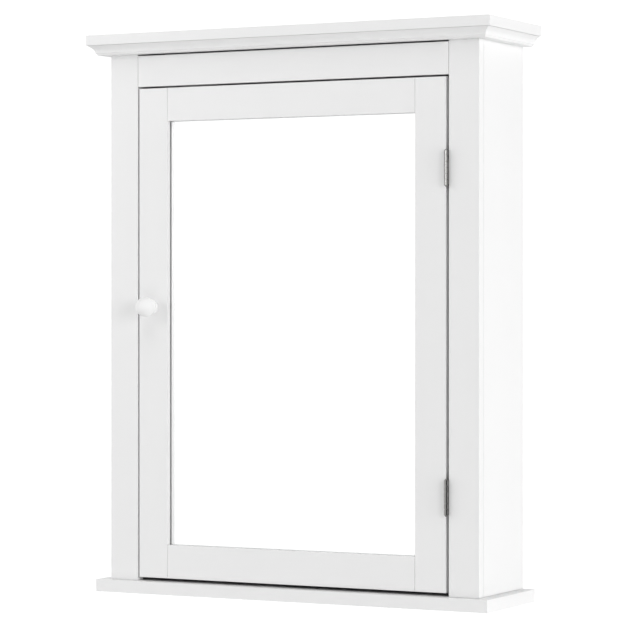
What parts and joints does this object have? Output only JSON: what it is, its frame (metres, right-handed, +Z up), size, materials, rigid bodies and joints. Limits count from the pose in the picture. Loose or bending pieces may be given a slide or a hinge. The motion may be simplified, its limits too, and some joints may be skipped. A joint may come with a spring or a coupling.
{
  "type": "hanging wall cabinet",
  "caption": "White wall-hung cabinet with a framed mirror door on exposed butt hinges, a ball knob, a cove crown, a projecting base board and loose adjustable shelves inside.",
  "frame": {"origin": "on the wall plane, midway between the two upper wall screw holes, 600 mm above the underside of the base board", "axes": "+Z up, +Y into the wall (the cabinet's back lies on Y = 0), the door faces -Y, +X to the right seen from the front"},
  "size_m": [0.5444, 0.1555, 0.686],
  "materials": {
    "white_paint": "sprayed white satin paint on fibreboard and wood",
    "white_gloss": "turned wood, white gloss paint",
    "fibreboard": "hardboard, white on its front and raw brown on its back",
    "beech": "raw fluted dowel",
    "mirror_glass": "silvered float glass",
    "nickel_steel": "nickel plated",
    "zinc_steel": "zinc plated",
    "brass": "turned brass",
    "white_plastic": "moulded, fine texture",
    "ferrite": "sintered ferrite magnet"
  },
  "bodies": {
    "cabinet": {"base_board": "white_paint", "top_board": "white_paint", "crown_moulding_front": "white_paint", "crown_moulding_left": "white_paint", "crown_moulding_right": "white_paint", "side_panel_left": "white_paint", "side_panel_right": "white_paint", "face_stile_left": "white_paint", "face_stile_right": "white_paint", "header_rail": "white_paint", "back_panel": "fibreboard", "hanging_rail_upper": "white_paint", "hanging_rail_lower": "white_paint", "cam_locks": "zinc_steel", "cam_bolts": "zinc_steel", "base_screws": "zinc_steel", "top_dowels": "beech", "base_dowels": "beech", "header_dowels": "beech", "rail_dowels": "beech", "back_panel_nails": "zinc_steel", "lower_shelf_pins": "nickel_steel", "upper_shelf_pins": "nickel_steel", "catch_block": "white_paint", "catch_housing": "white_plastic", "catch_magnet": "ferrite", "catch_pole_plates": "zinc_steel", "catch_screws": "zinc_steel", "upper_hinge_frame_leaf": "nickel_steel", "upper_hinge_pin": "nickel_steel", "upper_hinge_frame_screws": "nickel_steel", "lower_hinge_frame_leaf": "nickel_steel", "lower_hinge_pin": "nickel_steel", "lower_hinge_frame_screws": "nickel_steel"},
    "door": {"door_stile_knob_side": "white_paint", "door_stile_hinge_side": "white_paint", "door_rail_top": "white_paint", "door_rail_bottom": "white_paint", "door_dowels": "beech", "mirror_glass": "mirror_glass", "mirror_backing": "fibreboard", "mirror_clips": "zinc_steel", "mirror_clip_screws": "zinc_steel", "knob": "white_gloss", "knob_insert": "brass", "knob_screw": "zinc_steel", "strike_plate": "zinc_steel", "strike_screw": "zinc_steel", "upper_hinge_door_leaf": "nickel_steel", "upper_hinge_door_screws": "nickel_steel", "lower_hinge_door_leaf": "nickel_steel", "lower_hinge_door_screws": "nickel_steel"},
    "lower_shelf": {"lower_shelf": "white_paint"},
    "upper_shelf": {"upper_shelf": "white_paint"}
  },
  "joints": [
    {"name": "door_hinge", "type": "hinge", "parent": "cabinet", "child": "door", "pos_m": [0.20875, -0.1316, -0.27825], "axis": [0, 0, 1], "range_deg": [0, 180]},
    {"name": "lower_shelf_lift", "type": "slide", "parent": "cabinet", "child": "lower_shelf", "axis": [0, 0, 1], "range_m": [0, 0.064]},
    {"name": "upper_shelf_lift", "type": "slide", "parent": "cabinet", "child": "upper_shelf", "axis": [0, 0, 1], "range_m": [0, 0.064]}
  ]
}
